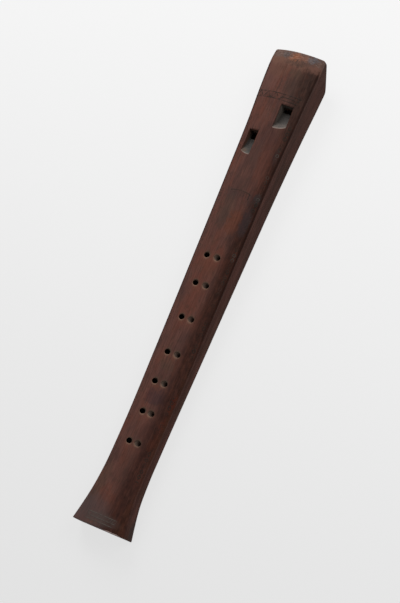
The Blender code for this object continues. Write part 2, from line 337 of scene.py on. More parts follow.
def plain_body(material):
    """The body before anything is cut or carved in it."""
    places = body_places()
    x, z = half_outlines(places)
    x = np.hstack((x, -x[:, -2:0:-1]))
    z = np.hstack((z, z[:, -2:0:-1]))
    middle = (z[-1].max() + z[-1].min()) / 2
    x = np.vstack((x, x[-1] * (1 - END_RIM / x[-1].max())))
    z = np.vstack((z, middle + (z[-1] - middle) * (1 - END_RIM / (z[-1].max() - middle))))
    rows, columns = x.shape
    y = np.repeat(along(np.append(places, LENGTH))[:, None], columns, axis=1)
    points = np.stack((x, y, z), axis=-1).reshape(-1, 3)
    return mesh_object("flute_body", points, tube(rows, columns), material)


def shoulder_across(from_tip):
    """Distance of the ridge from the crest, along the arc of the front."""
    half_width, radius, _ = arch_at(from_tip)
    return radius * np.arcsin(half_width / radius)


def split_where_carved(body):
    """Divides the faces finer under the ornament."""
    shape = bmesh.new()
    shape.from_mesh(body.data)
    bands, chains = set(), set()
    margin = 0.001
    centres = np.array([face.calc_center_median() for face in shape.faces])
    from_tip = LENGTH / 2 - centres[:, 1]
    height, across = front_at(centres[:, 0], from_tip)
    on_front = centres[:, 2] > height - margin
    inset = shoulder_across(from_tip) - np.abs(across)
    for index, face in enumerate(shape.faces):
        if not on_front[index] or len(face.verts) > 4:
            continue
        place = from_tip[index]
        in_bow = BOW_PLACE < place < BOW_PLACE + BOW_HEIGHT and abs(across[index] - BOW_MIDDLE) < BOW_REACH
        in_band = any(lines[0] - margin < place < lines[-1] + margin for lines in (HEAD_BAND, FOOT_BAND))
        if in_bow or in_band:
            bands.update(face.edges)
        elif CHAIN_START < place < CHAIN_END and CHAIN_ZONE[0] < inset[index] < CHAIN_ZONE[1]:
            chains.update(face.edges)
    chains -= bands
    bmesh.ops.subdivide_edges(shape, edges=list(bands), cuts=3, use_grid_fill=True)
    bmesh.ops.subdivide_edges(shape, edges=list(chains), cuts=2, use_grid_fill=True)
    shape.to_mesh(body.data)
    shape.free()


def groove(distance):
    """Depth of a stroke of the knife, from 0 to 1, at a distance from its middle."""
    return np.clip(1 - (distance / GROOVE_HALF_WIDTH) ** 2, 0, 1)


def to_segment(u, v, start, end):
    """Distance of points from a straight stroke."""
    du, dv = end[0] - start[0], end[1] - start[1]
    share = np.clip(((u - start[0]) * du + (v - start[1]) * dv) / (du**2 + dv**2), 0, 1)
    return np.hypot(u - start[0] - share * du, v - start[1] - share * dv)


def band(from_tip, across, lines, teeth_end, reach):
    """Lines round the front, with hatched teeth between them on the left and slanted strokes on the right."""
    first, middle, last = lines
    height = last - first
    place = (from_tip - first) / height
    borders = np.minimum(np.abs(from_tip - first), np.abs(from_tip - last))
    wave = np.abs(((across - ZIGZAG_SHIFT) / ZIGZAG_PITCH) % 1 - 0.5) * 2
    edge = np.abs(place - wave) * height / math.hypot(1, 2 * height / ZIGZAG_PITCH)
    hatch = np.abs((across + from_tip) % HATCH_PITCH - HATCH_PITCH / 2) + HATCH_FAINTER
    teeth = np.minimum(edge, np.where(place > wave, hatch, 1))
    slant = np.abs((across + SLANT * from_tip) % (2 * HATCH_PITCH) - HATCH_PITCH) + SLANT_FAINTER
    strokes = np.minimum(np.abs(from_tip - middle), np.where(from_tip < middle, slant, 1))
    between = np.where(across < teeth_end, teeth, strokes)
    between = np.where((place > 0) & (place < 1), between, 1)
    ends = np.minimum(across - reach[0], reach[1] - across)
    return groove(np.minimum(borders, between)) * np.clip(ends / BAND_FADE, 0, 1)


def chain(from_tip, inset):
    """Small rings and leaves in turn, along a shoulder."""
    u = (from_tip - CHAIN_START) % CHAIN_PITCH
    v = inset - CHAIN_INSET
    marks = np.abs(np.hypot(u - RING_PLACE, v) - RING_RADIUS)
    middle = (LEAF_START + LEAF_END) / 2
    corners = ((LEAF_START, 0), (middle, LEAF_HALF_WIDTH), (LEAF_END, 0), (middle, -LEAF_HALF_WIDTH))
    for start, end in zip(corners, corners[1:] + corners[:1]):
        marks = np.minimum(marks, to_segment(u, v, start, end))
    inside = (from_tip > CHAIN_START) & (from_tip < CHAIN_END)
    return np.where(inside, groove(marks), 0)


def bow(from_tip, across):
    """A shallow bow with ticks under its right half, between the windows and the first finger holes."""
    offset = across - BOW_MIDDLE
    below = from_tip - BOW_PLACE - BOW_CURVE * offset**2
    tick = np.abs(offset % TICK_PITCH - TICK_PITCH / 2)
    tick = np.where((below > 0) & (below < TICK_LENGTH) & (offset > 0), tick, 1)
    return groove(np.minimum(np.abs(below), tick)) * (np.abs(offset) < BOW_REACH)


def carving(from_tip, across, inset):
    """How deep the ornament is at points of the front, and how pale its marks are with dust and painted
    highlights, from 0 to 1.
    """
    wear = 0.62 + 0.38 * np.sin(83 * from_tip + 1.1) * np.sin(61 * from_tip + 240 * across)
    patchy = np.clip(0.5 + 0.9 * np.sin(211 * from_tip + 0.4) * np.sin(97 * from_tip + 2.0), 0.20, 1)
    worn = 0.65 + 0.35 * np.sin(870 * across + 2.2) * np.sin(510 * across + 900 * from_tip)
    head = worn * band(from_tip, across, HEAD_BAND, HEAD_BAND_TEETH, HEAD_BAND_REACH)
    foot = worn * band(from_tip, across, FOOT_BAND, FOOT_BAND_TEETH, FOOT_BAND_REACH)
    links = chain(from_tip, inset)
    faint = links * patchy * np.minimum(wear + 0.2, 1) * np.where(across > 0, 1.0, 0.6)
    spots = sum(bell(from_tip - place, CHAIN_PALE_REACH) for place in CHAIN_PALE_SPOTS)
    # Pale spots on the chain's marks: dust and painted groove highlights
    dusty_and_lit = 0.6 * links * np.minimum(spots, 1) * (0.4 + 0.6 * patchy) * (across > 0)
    worn_bow = bow(from_tip, across) * (0.30 + 0.5 * wear)
    return np.maximum.reduce((head, foot, faint, dusty_and_lit, worn_bow)), np.maximum(foot, dusty_and_lit)


def chipped(points, below):
    """How far the foot's front edge is worn down at each point, from 0 to 1."""
    past = np.clip((CHIP_LENGTH - (points[:, 1] + LENGTH / 2)) / CHIP_LENGTH, 0, 1)
    side = np.clip(1 - np.abs(points[:, 0] - CHIP_MIDDLE) / CHIP_REACH, 0, 1)
    ragged = 0.75 + 0.25 * np.sin(1900 * points[:, 0]) * np.sin(730 * points[:, 0] + 1)
    return np.where(below < CHIP_HEIGHT, past**1.5 * np.sqrt(side) * ragged, 0)


def vectors(mesh, name="co"):
    """The place of each of a mesh's points, or its normal."""
    values = np.empty(len(mesh.vertices) * 3)
    mesh.vertices.foreach_get(name, values)
    return values.reshape(-1, 3)


def front_places(points):
    """Each point's distance from the tip, place across, distance from the ridge and depth under the front."""
    from_tip = LENGTH / 2 - points[:, 1]
    height, across = front_at(points[:, 0], from_tip)
    return from_tip, across, shoulder_across(from_tip) - np.abs(across), height - points[:, 2]


def carve(body):
    """Sinks the ornament into the front."""
    mesh = body.data
    points, normals = vectors(mesh), vectors(mesh, "normal")
    from_tip, across, inset, below = front_places(points)
    depth = np.where(below < SKIN, carving(from_tip, across, inset)[0], 0)
    points -= normals * (depth * GROOVE_DEPTH)[:, None]
    points[:, 2] -= CHIP_DEPTH * chipped(points, below)
    mesh.vertices.foreach_set("co", points.ravel())
    mesh.update()


def bore_centre(pipe, from_tip):
    """A point on the bore's axis."""
    height = BORE_HEIGHTS[0] + from_tip / LENGTH * (BORE_HEIGHTS[1] - BORE_HEIGHTS[0])
    return Vector((pipe["side"] * BORE_OFFSET, along(from_tip), height))


def bore_radius(pipe, from_tip):
    start, end = pipe["radii"]
    return start + from_tip / LENGTH * (end - start)


def pipe_frame(pipe):
    """Origin on the bore's axis at the tip, Y along the axis towards the head, Z up through the front."""
    origin = bore_centre(pipe, 0)
    headward = (origin - bore_centre(pipe, LENGTH)).normalized()
    across = headward.cross(UP).normalized()
    placed = Matrix((across, headward, across.cross(headward))).transposed().to_4x4()
    placed.translation = origin
    return placed


def windway_floor(pipe):
    """Height of the block's flat top above the bore's axis."""
    return bore_radius(pipe, pipe["window"]) - FLOOR_BELOW_BORE_TOP


def loft(name, rings, material, matrix=None):
    """A closed skin over rings of as many points each, with flat ends."""
    points = [point for ring in rings for point in ring]
    obj = mesh_object(name, points, tube(len(rings), len(rings[0])), material)
    face_out(obj)
    if matrix:
        obj.data.transform(matrix)
    return obj


def face_out(obj):
    """Turns all faces outwards."""
    shape = bmesh.new()
    shape.from_mesh(obj.data)
    bmesh.ops.recalc_face_normals(shape, faces=shape.faces)
    shape.to_mesh(obj.data)
    shape.free()


def circle(centre, radius, sides, first=ACROSS, second=UP):
    """Points round a centre, in the plane of two directions."""
    angles = [2 * math.pi * i / sides for i in range(sides)]
    return [centre + radius * (math.cos(a) * first + math.sin(a) * second) for a in angles]


def bore_cutter(pipe, material):
    ends = (-OVERCUT, LENGTH + OVERCUT)
    rings = [circle(bore_centre(pipe, end), bore_radius(pipe, end), BORE_SIDES) for end in ends]
    return loft(pipe["name"] + "_bore_cut", rings, material)


def extruded(name, outline, half_width, material, matrix):
    """A solid whose outline lies in Y and Z of the matrix, with its width along X."""
    rings = [[Vector((x, y, z)) for y, z in outline] for x in (-half_width, half_width)]
    return loft(name, rings, material, matrix)


def windway_cutter(pipe, material):
    """The flat channel in the bore's roof, from the tip to the window."""
    floor = windway_floor(pipe)
    roof = floor + WINDWAY_HEIGHT
    back = -pipe["window"] - pipe["cut_up"] / 2
    outline = ((back, floor), (OVERCUT, floor), (OVERCUT, roof), (back, roof))
    return extruded(pipe["name"] + "_windway_cut", outline, pipe["width"] / 2, material, pipe_frame(pipe))


def window_cutter(pipe, material):
    """The opening down to the bore, and the hollow ramp from the labium's edge up to the front."""
    start = -pipe["window"]
    labium = start - pipe["cut_up"]
    radius = bore_radius(pipe, -labium)
    bottom = math.sqrt(radius**2 - (pipe["width"] / 2) ** 2) - BLOCK_CLEARANCE
    edge_height = radius + LABIUM_THICKNESS
    ramp_end = pipe["ramp"] - labium
    axis = bore_centre(pipe, ramp_end)
    middle = front_height(axis.x, ramp_end)
    rise = middle - axis.z - edge_height
    rings = []
    for aside in np.linspace(-1, 1, RAMP_COLUMNS):
        x = aside * pipe["width"] / 2
        lift = RAMP_FOLLOWS_FRONT * (front_height(axis.x + x, ramp_end) - middle) + RAMP_SCOOP * aside**2
        outline = [(start, bottom), (labium, bottom)]
        for share in np.linspace(0, RAMP_OVERRUN, RAMP_ROWS):
            height = (rise + lift) * ((1 - RAMP_HOLLOW) * share + RAMP_HOLLOW * share**2)
            outline.append((labium - share * pipe["ramp"], edge_height + height))
        outline.append((start, 3 * edge_height))
        rings.append([Vector((x, y, z)) for y, z in outline])
    return loft(pipe["name"] + "_window_cut", rings, material, pipe_frame(pipe))


def window_rim_cutter(pipe, material):
    """Breaks the window's edge: a thin slab that follows the front and is wider at its top."""
    middle = pipe["side"] * BORE_OFFSET
    start = pipe["window"]
    end = start + pipe["cut_up"] + pipe["ramp"] - RIM_STOPS_SHORT
    layers = ((-WINDOW_RIM, -RIM_OVERLAP), (0.0, 0.7 * WINDOW_RIM), (WINDOW_RIM, 2.2 * WINDOW_RIM))
    points, faces = [], []
    for lift, spread in layers:
        offsets = middle + (pipe["width"] / 2 + spread) * np.linspace(-1, 1, RIM_COLUMNS + 1)
        for place in np.linspace(start - spread, end + spread, RIM_ROWS + 1):
            heights = front_at(offsets, place)[0] + lift
            points += [(x, along(place), z) for x, z in zip(offsets, heights)]
    here = np.arange(len(points)).reshape(len(layers), RIM_ROWS + 1, RIM_COLUMNS + 1)
    for layer in (here[0], here[-1]):
        faces += quads(layer[:-1, :-1], layer[:-1, 1:], layer[1:, 1:], layer[1:, :-1])
    border = (here[:, 0, :-1], here[:, :-1, -1], here[:, -1, :0:-1], here[:, :0:-1, 0])
    faces += wrapped(np.hstack(border))
    cutter = mesh_object(pipe["name"] + "_rim_cut", points, faces, material)
    face_out(cutter)
    return cutter


def hole_cutter(name, pipe, from_tip, offset, from_back, inside, outside):
    """A finger hole that slants outwards into its bore, with a rim rounded by fingers."""
    if from_back:
        mouth, normal = Vector((offset, along(from_tip), 0)), -UP
    else:
        slope = front_height(offset + SLOPE_STEP, from_tip) - front_height(offset - SLOPE_STEP, from_tip)
        fall = front_height(offset, from_tip + FALL_STEP) - front_height(offset, from_tip - FALL_STEP)
        mouth = Vector((offset, along(from_tip), front_height(offset, from_tip)))
        normal = Vector((-slope / (2 * SLOPE_STEP), fall / (2 * FALL_STEP), 1)).normalized()
    bottom = bore_centre(pipe, from_tip)
    axis = (mouth - bottom).normalized()
    first = Vector((0, 1, 0)) - normal * normal.y
    first.normalize()
    second = normal.cross(first) / axis.dot(normal)
    depth = RIM_RADIUS / axis.dot(normal)
    stations = [(bottom, HOLE_RADIUS), (mouth - axis * depth, HOLE_RADIUS)]
    for step in range(1, RIM_STEPS + 1):
        share = step / RIM_STEPS
        widened = HOLE_RADIUS + RIM_RADIUS * (1 - math.sqrt(1 - share**2))
        stations.append((mouth - axis * depth * (1 - share), widened))
    stations.append((mouth + axis * 0.4 * RIM_RADIUS, HOLE_RADIUS + 3 * RIM_RADIUS))
    rings = [circle(centre, radius, HOLE_SIDES, first, second) for centre, radius in stations]
    cutter = loft(name, rings, inside)
    cutter.data.materials.append(outside)
    wall = min(face.center.dot(normal) for face in cutter.data.polygons if len(face.vertices) == 4)
    for face in cutter.data.polygons:
        face.material_index = int(len(face.vertices) == 4 and face.center.dot(normal) > wall + SKIN)
    return cutter


def cut_all(body, cutters):
    """Cuts every cutter out of the body in one go, and removes the cutters."""
    tools = bpy.data.collections.new("cutters")
    for cutter in cutters:
        tools.objects.link(cutter)
    cuts = body.modifiers.new("cuts", "BOOLEAN")
    cuts.operation = "DIFFERENCE"
    cuts.solver = "EXACT"
    cuts.operand_type = "COLLECTION"
    cuts.collection = tools
    cuts.material_mode = "TRANSFER"
    graph = bpy.context.evaluated_depsgraph_get()
    result = bpy.data.meshes.new_from_object(body.evaluated_get(graph))
    body.modifiers.clear()
    body.data = result
    for cutter in cutters:
        bpy.data.objects.remove(cutter)
    bpy.data.collections.remove(tools)


def hole_wear_and_highlights(points, from_tip):
    """How near each point is to a finger hole's rim, to its rubbed side with its painted highlight, and to
    where a finger lies.
    """
    rims, rubbed_and_lit, touched = (np.zeros(len(points)) for _ in range(3))
    for place, left, right in HOLE_ROWS:
        for offset in (left, right):
            aside, past = points[:, 0] - offset, from_tip - place
            ring = bell(np.hypot(aside, past) - HOLE_RADIUS - RIM_RADIUS / 2, RUBBED_WIDTH)
            rims = np.maximum(rims, ring)
            # The rim's foot side: wear, with a painted highlight where it faces the light
            rubbed_and_lit = np.maximum(rubbed_and_lit, ring * smooth((past - 0.2 * aside) / HOLE_RADIUS))
        aside = (points[:, 0] - (left + right) / 2) / TOUCHED_ASPECT
        spread = np.hypot(aside, from_tip - place - TOUCHED_BELOW)
        touched = np.maximum(touched, bell(spread, TOUCHED_RADIUS))
    return rims, rubbed_and_lit, touched


def mark_wear_and_painted_light(body):
    """Keeps on each point its place on the skin, how deep it is carved, how it has worn, and where shade and
    highlights are painted.
    """
    points = vectors(body.data)
    from_tip, across, inset, below = front_places(points)
    on_front = below < FRONT_DEPTH
    marks = dict(across=across + np.sign(across) * np.where(on_front, 0, below), below=below)
    marks["carving"], marks["dust_and_highlight"] = (depth * on_front for depth in carving(from_tip, across, inset))
    marks["flank"] = smooth((below - FRONT_DEPTH) / FLANK_BLEND)
    # Painted shade on the right side of the front, where the arch turns away from the light
    turn = np.interp(from_tip, *PAINTED_SHADE_TURN.T)
    marks["painted_shade_side"] = smooth((across - turn) / PAINTED_SHADE_TURN_SPREAD / 2 + 0.5) * (1 - marks["flank"])
    beyond = (from_tip - sum(FOOT_BAND) / len(FOOT_BAND)) / FOOT_GREY_LENGTH
    aside = (across - FOOT_GREY_MIDDLE) / FOOT_GREY_WIDTH
    marks["foot_band"] = smooth(1.8 - 1.2 * np.hypot(beyond, aside)) * on_front
    fading = smooth((RIDGE_LINE_END - from_tip) / RIDGE_LINE_FADE) * (below < RIDGE_LINE_DEPTH)
    marks["ridge"] = bell(inset - RIDGE_LINE_INSET, RIDGE_LINE_WIDTH) * fading
    # A painted shadow along the beak's lower edge
    heel = bell(points[:, 2] - base_height(from_tip), HEEL_LINE_WIDTH)
    marks["beak_edge_shade"] = heel * smooth((HEEL_LINE_END - from_tip) / HEEL_LINE_FADE)
    # Painted shade along the left edge, where the shoulder turns away from the light
    fading = smooth((LEFT_EDGE_DEPTH - below) / LEFT_EDGE_DEPTH_FADE) * (across < 0)
    marks["left_edge_shade"] = smooth((LEFT_EDGE_WIDTH - inset) / LEFT_EDGE_FADE) * fading
    marks["chip"] = smooth(3 * chipped(points, 0.8 * np.abs(below)))
    for name, values in zip(("rims", "rubbed_and_lit", "touched"), hole_wear_and_highlights(points, from_tip)):
        marks[name] = values * on_front
    for name, values in marks.items():
        attribute = body.data.attributes.new(name, "FLOAT", "POINT")
        attribute.data.foreach_set("value", values.astype(np.float32))


class Socket:
    """A node's output in an expression: each operator adds a Math node."""

    def __init__(self, paint, output):
        self.paint = paint
        self.output = output

    def math(self, operation, *values, **settings):
        return self.paint.add("ShaderNodeMath", dict(operation=operation, **settings), values)

    def __add__(self, other):
        return self.math("ADD", self, other)

    def __radd__(self, other):
        return self.math("ADD", other, self)

    def __sub__(self, other):
        return self.math("SUBTRACT", self, other)

    def __rsub__(self, other):
        return self.math("SUBTRACT", other, self)

    def __mul__(self, other):
        return self.math("MULTIPLY", self, other)

    def __truediv__(self, other):
        return self.math("DIVIDE", self, other)

    def __pow__(self, other):
        return self.math("POWER", self, other)

    def above(self, low, high):
        """0 below the low value, 1 above the high one, and smooth between them."""
        settings = dict(interpolation_type="SMOOTHSTEP", clamp=True)
        return self.paint.add("ShaderNodeMapRange", settings, (self, low, high, 0.0, 1.0))

    def clipped(self):
        return self.math("ADD", self, 0.0, use_clamp=True)


class Paint:
    """A material and the nodes that feed it."""

    def __init__(self, name, **finish):
        self.material = bpy.data.materials.new(name)
        self.material.use_nodes = True
        self.tree = self.material.node_tree
        self.shader = self.tree.nodes["Principled BSDF"]
        for socket, value in finish.items():
            self.shader.inputs[socket.replace("_", " ")].default_value = value
        self.place = self.add("ShaderNodeTexCoord", out="Object")

    def add(self, kind, settings=None, values=(), out=0):
        """A node: its settings first, then the values or links of its sockets, by order or by name."""
        node = self.tree.nodes.new(kind)
        for name, value in (settings or {}).items():
            setattr(node, name, value)
        pairs = values.items() if isinstance(values, dict) else enumerate(values)
        for socket, value in pairs:
            self.feed(node.inputs[socket], value)
        return Socket(self, node.outputs[out])

    def feed(self, socket, value):
        """Links an output to a socket, or sets the socket's own value."""
        if isinstance(value, Socket):
            self.tree.links.new(value.output, socket)
        else:
            socket.default_value = value

    def axis(self, name):
        return self.add("ShaderNodeSeparateXYZ", values=(self.place,), out=name)

    def noise(self, scale, detail=3.0, roughness=0.6, stretch=(1.0, 1.0, 1.0), shift=(0.0, 0.0, 0.0)):
        """Noise from 0 to 1, with features per metre given by the scale."""
        placing = {"Vector": self.place, "Scale": stretch, "Location": shift}
        placed = self.add("ShaderNodeMapping", values=placing)
        values = {"Vector": placed, "Scale": scale, "Detail": detail, "Roughness": roughness}
        return self.add("ShaderNodeTexNoise", values=values)

    def mixed(self, first, second, share):
        """The first colour, and the second one over it as far as the share goes."""
        return self.add("ShaderNodeMix", dict(data_type="RGBA"), {0: share, 6: first, 7: second}, out=2)

    def layered(self, colour, layers):
        """A colour with others laid over it in turn, each with its share."""
        for tint, share in layers:
            colour = self.mixed(colour, rgb(*tint), share)
        return colour

    def mask(self, name):
        """A value kept on the mesh's points."""
        return self.add("ShaderNodeAttribute", dict(attribute_name=name), out="Fac")

    def finish(self, **sockets):
        for name, value in sockets.items():
            self.feed(self.shader.inputs[name.replace("_", " ")], value)
        return self.material

    def wood(self, colour, roughness, relief, depth, strength):
        """The material, with a relief as deep and as strong as given."""
        values = {"Height": relief, "Distance": depth, "Strength": strength}
        normal = self.add("ShaderNodeBump", values=values)
        return self.finish(Base_Color=colour, Roughness=roughness.clipped(), Normal=normal)


def rgb(red, green, blue):
    """A colour as it is seen on screen, from 0 to 255, in linear light."""
    def linear(value):
        share = value / 255
        return share / 12.92 if share <= 0.04045 else ((share + 0.055) / 1.055) ** 2.4

    return (linear(red), linear(green), linear(blue), 1.0)


def grain_of(paint):
    """Long fibres, broader streaks, and short dark pores between them."""
    fibres = paint.noise(1.0, 4.0, 0.6, stretch=(1500.0, 26.0, 1500.0))
    streaks = paint.noise(1.0, 3.0, 0.5, stretch=(260.0, 9.0, 260.0), shift=(3.0, 1.0, 2.0))
    pores = paint.noise(1.0, 1.0, 0.4, stretch=(3600.0, 260.0, 3600.0), shift=(5.0, 7.0, 1.0))
    return fibres, streaks, pores.above(0.64, 0.74)


# Patches on the front, in mm: place across, distance from the tip, half-width, half-length. Colour, strength
PATCHES = (
    (13, 26, 12, 17, (66, 52, 47), 0.6),
    (6, 30, 7, 10, (76, 60, 54), 0.35),
    (-15, 25, 8, 15, (112, 79, 72), 0.45),
    (-4, 136, 6, 13, (74, 62, 54), 0.42),
    (5.5, 144, 5.8, 9.5, (100, 58, 42), 0.55),
    (2, 100, 8, 20, (84, 60, 54), 0.35),
    (8.5, 88, 4, 22, (94, 54, 44), 0.4),
    (-13, 60, 5, 12, (98, 64, 56), 0.35),
    (-10, 18, 9, 6, (108, 76, 62), 0.4),
    (6, 18, 6, 4.5, (92, 72, 60), 0.45),
    (-6, 122, 6, 4, (68, 60, 58), 0.3),
    (1.5, 288, 8, 6.2, (62, 47, 50), 0.62),
    (0, 262, 7, 5, (74, 64, 52), 0.3),
    (5, 315, 5.5, 8, (92, 56, 48), 0.35),
    (0, 183, 8, 6, (98, 64, 52), 0.3),
    (13.5, 125, 3, 6, (62, 58, 60), 0.35),
    (-13, 358, 6, 16, (76, 64, 52), 0.35),
    (1, 343, 6, 16, (76, 54, 48), 0.35),
    # A painted gloss highlight on the left of the flaring foot
    (-10, 386, 19, 15, (82, 72, 71), 0.6),
    (-4, 390, 4.5, 1.2, (112, 74, 58), 0.4),
    (11, 389.5, 5, 1.4, (98, 62, 44), 0.4),
    (4, 71, 8.5, 11, (64, 48, 46), 0.45),
)
TIP_PATCHES = (
    (-1, 4.8, 5.2, 3.4, (158, 98, 68), 0.75),
    (6.2, 5, 5.6, 3, (134, 88, 68), 0.6),
    (14, 3.6, 4.2, 3, (98, 100, 106), 0.75),
    (-8.5, 3.6, 3.4, 2.6, (92, 88, 88), 0.65),
    (-16, 4, 4, 4, (118, 96, 88), 0.35),
    (17, 9.8, 4, 2.6, (114, 82, 74), 0.6),
)
STAINS = (
    (14, 141, 3.4, 11, (54, 48, 50), 0.6),
    (16, 121, 2.8, 4, (58, 54, 54), 0.5),
    (16.5, 85, 2, 8, (56, 46, 46), 0.4),
    (16.3, 288, 1.7, 8, (88, 38, 26), 0.42),
    (15.2, 305, 2, 7, (84, 38, 26), 0.4),
    (14.2, 321, 2.4, 9, (80, 40, 26), 0.36),
    (36, 386, 6, 12, (40, 36, 35), 0.6),
)
SCRATCHES = (
    (3, 9.6, 9, 2.8, (60, 52, 47), 0.75),
    (11, 7.8, 5, 1.6, (58, 54, 54), 0.6),
    (-7, 5, 5, 2, (70, 62, 60), 0.5),
)


class BodyPaint(Paint):
    """The body's wood: its noises and places, and the layers of its colour."""

    def __init__(self):
        super().__init__("body_wood", Specular_IOR_Level=0.02)
        self.fibres, self.streaks, self.pores = grain_of(self)
        self.clouds = self.noise(60.0, 3.0, 0.55, stretch=(1.0, 0.5, 1.0))
        self.flecks = self.noise(420.0, stretch=(1.0, 0.6, 1.0))
        self.other_flecks = self.noise(380.0, shift=(1.0, 2.0, 3.0))
        self.bites = self.noise(1.0, 2.0, 0.5, stretch=(500.0, 1500.0, 500.0), shift=(2.0, 5.0, 1.0))
        self.from_tip = LENGTH / 2 - self.axis("Y")
        self.across = self.mask("across")
        ragged = (self.flecks - 0.5) * 0.007 + (self.clouds - 0.5) * 0.005
        self.tan = 1.0 - (self.from_tip + ragged * 1.3).above(0.0100, 0.0160)
        self.scuffed = 1.0 - (self.from_tip + ragged).above(0.0058, 0.0088)
        self.unworn = 1.0 - self.tan * 0.85

    def patched(self, colour, patches, raggedness):
        """Soft patches, each at its place on the front, with edges as ragged as the given distance."""
        across = self.across + (self.flecks - 0.5) * raggedness
        from_tip = self.from_tip + (self.other_flecks - 0.5) * raggedness
        for *millimetres, tint, strength in patches:
            middle, place, half_width, half_length = (size / 1000 for size in millimetres)
            spread = ((across - middle) / half_width) ** 2 + ((from_tip - place) / half_length) ** 2
            colour = self.mixed(colour, rgb(*tint), (1.0 - spread.above(0.15, 1.8)) * strength)
        return colour

    def plain(self):
        """Fibres, streaks, clouds and flecks, with the large patches."""
        colour = self.mixed(rgb(84, 56, 50), rgb(104, 71, 63), self.fibres.above(0.3, 0.7))
        colour = self.layered(colour, (
            ((102, 61, 50), self.streaks.above(0.48, 0.70) * 0.5),
            ((70, 52, 49), self.clouds.above(0.48, 0.63) * 0.55),
            ((108, 62, 50), (1.0 - self.clouds).above(0.52, 0.66) * 0.45),
            ((70, 55, 46), self.flecks.above(0.52, 0.66) * 0.4),
        ))
        colour = self.patched(colour, PATCHES, 0.012)
        return self.mixed(colour, rgb(46, 28, 24), self.pores * 0.3)

    def tip_worn(self, colour):
        """The mouth end, rubbed to tan, scuffed and scratched."""
        strokes = self.noise(1.0, 2.0, 0.6, stretch=(1900.0, 300.0, 1900.0), shift=(2.0, 5.0, 1.0))
        strokes = strokes.above(0.36, 0.58)
        colour = self.layered(colour, (
            ((118, 86, 73), self.tan * (0.45 + self.fibres * 0.5)),
            ((100, 81, 74), self.scuffed * 0.7),
        ))
        colour = self.mixed(colour, self.patched(colour, TIP_PATCHES, 0.008), 0.35 + strokes * 0.65)
        colour = self.mixed(colour, self.patched(colour, SCRATCHES, 0.006), 0.9 - strokes * 0.55)
        return self.layered(colour, (
            ((60, 50, 46), self.scuffed * self.bites.above(0.56, 0.64) * 0.5),
            ((150, 134, 126), self.scuffed * (1.0 - self.bites).above(0.56, 0.64) * 0.35),
        ))

    def shaded(self, colour):
        """Painted shade: the darker right side of the front, and the flank, painted darker partly as its
        shade.
        """
        flank = self.mixed(rgb(56, 30, 24), rgb(76, 47, 40), self.streaks.above(0.35, 0.65))
        beside_ridge = 1.0 - self.mask("below").above(0.002, 0.009)
        flank = self.layered(flank, (
            ((57, 42, 33), self.clouds.above(0.45, 0.65) * 0.5),
            ((44, 30, 26), (1.0 - self.from_tip.above(0.02, 0.24)) * 0.55),
            ((46, 17, 8), beside_ridge * self.from_tip.above(0.10, 0.18) * 0.6),
        ))
        # The flank is painted darker than the front, partly as its shade, and darker still towards the head
        colour = self.mixed(colour, flank, self.mask("flank") * 0.88)
        reddish = self.across.above(0.0105, 0.0145) * self.from_tip.above(0.23, 0.28)
        blotches = self.noise(330.0, 2.0, 0.5, stretch=(1.0, 0.55, 1.0), shift=(4.0, 4.0, 4.0))
        side = self.mixed(rgb(58, 44, 39), rgb(51, 31, 25), self.from_tip.above(0.03, 0.10))
        side = self.layered(side, (
            ((58, 35, 30), self.from_tip.above(0.20, 0.32)),
            ((66, 38, 22), reddish * self.streaks.above(0.4, 0.6) * 0.5),
            ((34, 22, 18), blotches.above(0.50, 0.62) * 0.5),
            ((76, 44, 34), (1.0 - blotches).above(0.52, 0.66) * 0.45),
        ))
        # Painted shade, mottled, over the right side of the front
        return self.mixed(colour, side, self.mask("painted_shade_side") * self.unworn * 0.85)

    def marked(self, colour):
        """Stripes along the grain, stains, the dark ridge line, painted shade along the left edge and the
        beak's edge, the worn chip and holes with painted highlights on their rubbed sides, and the carving
        with its dust and painted highlights.
        """
        stripes = self.noise(1.0, stretch=(900.0, 70.0, 900.0), shift=(6.0, 2.0, 5.0))
        colour = self.layered(colour, (
            ((40, 28, 25), stripes.above(0.50, 0.66) * self.unworn * 0.18),
            ((120, 80, 68), (1.0 - stripes).above(0.50, 0.66) * self.unworn * 0.12),
            # Painted shade along the left edge
            ((30, 20, 19), self.mask("left_edge_shade") * self.unworn * 0.6),
        ))
        colour = self.patched(colour, STAINS, 0.006)
        splintered = (self.mask("chip") * (0.3 + self.other_flecks * 1.4)).above(0.45, 0.90)
        return self.layered(colour, (
            ((34, 18, 14), self.mask("ridge") * self.unworn * (0.45 + self.streaks * 0.5)),
            # Painted shadow along the beak's lower edge
            ((30, 20, 17), self.mask("beak_edge_shade") * 0.8),
            ((206, 180, 172), splintered * (0.55 + self.fibres * 0.5)),
            ((116, 70, 56), self.mask("touched") * self.flecks.above(0.35, 0.6) * 0.45),
            ((84, 76, 64), self.mask("rims") * (0.2 + self.other_flecks * 0.7)),
            # Worn foot sides of the rims, with a painted highlight
            ((150, 112, 94), self.mask("rubbed_and_lit") * (0.1 + self.other_flecks * 0.6)),
            ((80, 70, 66), self.mask("foot_band") * (0.15 + self.other_flecks * 0.6)),
            ((42, 41, 37), self.mask("carving").above(0.05, 0.70) * 0.85),
            # Pale lines in the carving: dust and painted groove highlights
            ((108, 99, 93), self.mask("dust_and_highlight").above(0.10, 0.70) * (0.25 + self.flecks * 0.7)),
        ))


def body_wood():
    """Dark red-brown wood, handled smooth, paler where lips and fingers have worn it, with painted shade and
    highlights.
    """
    paint = BodyPaint()
    colour = paint.marked(paint.shaded(paint.tip_worn(paint.plain())))
    roughness = 0.52 + (paint.clouds - 0.5) * 0.25 + paint.pores * 0.15
    relief = paint.clouds * 4.0 + paint.fibres * 0.5 + paint.streaks * 0.4 + paint.flecks * 0.8
    relief = relief + paint.scuffed * paint.bites * 2.0 - paint.pores * 0.6
    return paint.wood(colour, roughness, relief, 0.00006, 0.6)


